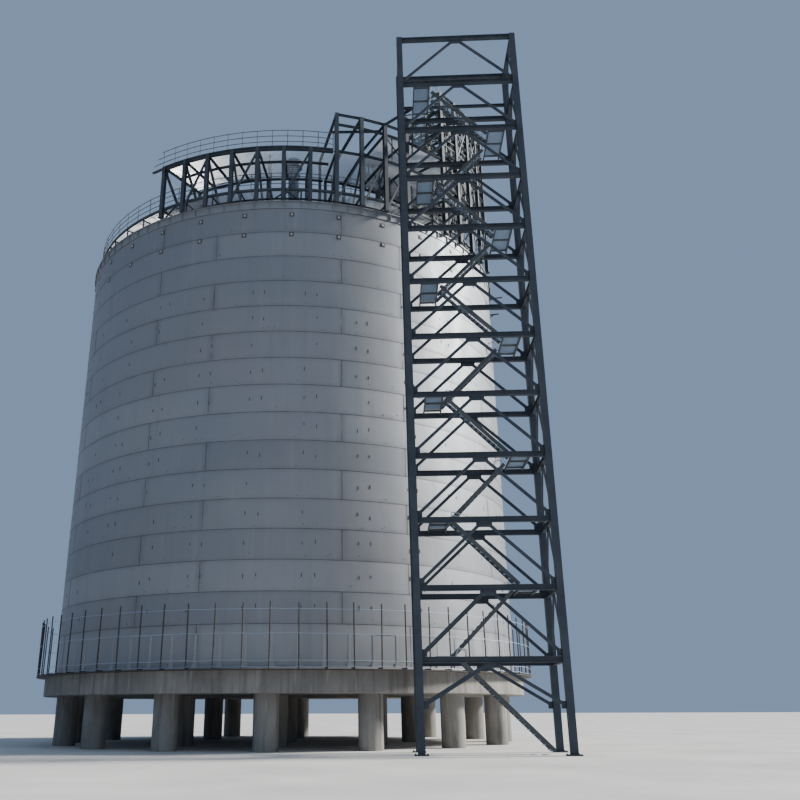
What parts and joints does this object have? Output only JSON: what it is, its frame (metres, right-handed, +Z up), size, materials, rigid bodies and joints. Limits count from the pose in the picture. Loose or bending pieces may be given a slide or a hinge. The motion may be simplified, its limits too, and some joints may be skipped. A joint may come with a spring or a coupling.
{
  "type": "vertical storage tank",
  "caption": "Large welded steel storage tank on a raised round concrete slab, with dome roof, roof-edge walkway, service platforms and a free-standing steel stair tower.",
  "frame": {"origin": "on the tank's axis at ground level, at the foot of the centre column", "axes": "+Z up, +X along the stair tower's front face, -Y towards the side that the picture shows"},
  "size_m": [28.98, 31.35, 39],
  "materials": {
    "concrete": null,
    "shell_plate": "bare mill-finish plate with dark weld seams and handling marks",
    "frame_paint": "dark slate-grey paint, satin",
    "galvanised": "hot-dip galvanised gratings, treads and rails",
    "scaffold_pipe": "dull brown-grey steel pipe"
  },
  "bodies": {
    "root": {"foundation": "concrete", "tank_bottom": "shell_plate", "rim_ring": "shell_plate", "dome_roof": "shell_plate", "roof_vent": "frame_paint", "roof_walkway": "frame_paint", "roof_railing": "galvanised", "platform_frame": "frame_paint", "platform_deck": "galvanised", "platform_railing": "galvanised", "service_frame": "frame_paint", "service_deck": "galvanised", "link_bridge": "frame_paint", "tower_front_face": "frame_paint", "tower_rear_face": "frame_paint", "tower_left_side": "frame_paint", "tower_right_side": "frame_paint", "shell_course_01": "shell_plate", "shell_course_02": "shell_plate", "shell_course_03": "shell_plate", "shell_course_04": "shell_plate", "shell_course_05": "shell_plate", "shell_course_06": "shell_plate", "shell_course_07": "shell_plate", "shell_course_08": "shell_plate", "shell_course_09": "shell_plate", "shell_course_10": "shell_plate", "shell_course_11": "shell_plate", "shell_course_12": "shell_plate", "shell_course_13": "shell_plate", "shell_course_14": "shell_plate", "shell_course_15": "shell_plate", "shell_course_16": "shell_plate", "landing_00": "galvanised", "landing_01": "galvanised", "landing_02": "galvanised", "landing_03": "galvanised", "landing_04": "galvanised", "landing_05": "galvanised", "landing_06": "galvanised", "landing_07": "galvanised", "landing_08": "galvanised", "landing_09": "galvanised", "landing_10": "galvanised", "stair_flight_00": "galvanised", "stair_flight_01": "galvanised", "stair_flight_02": "galvanised", "stair_flight_03": "galvanised", "stair_flight_04": "galvanised", "stair_flight_05": "galvanised", "stair_flight_06": "galvanised", "stair_flight_07": "galvanised", "stair_flight_08": "galvanised", "stair_flight_09": "galvanised", "stair_flight_10": "galvanised", "base_fence_front": "scaffold_pipe", "base_fence_right": "scaffold_pipe", "base_fence_rear": "scaffold_pipe", "base_fence_left": "scaffold_pipe"}
  },
  "joints": []
}
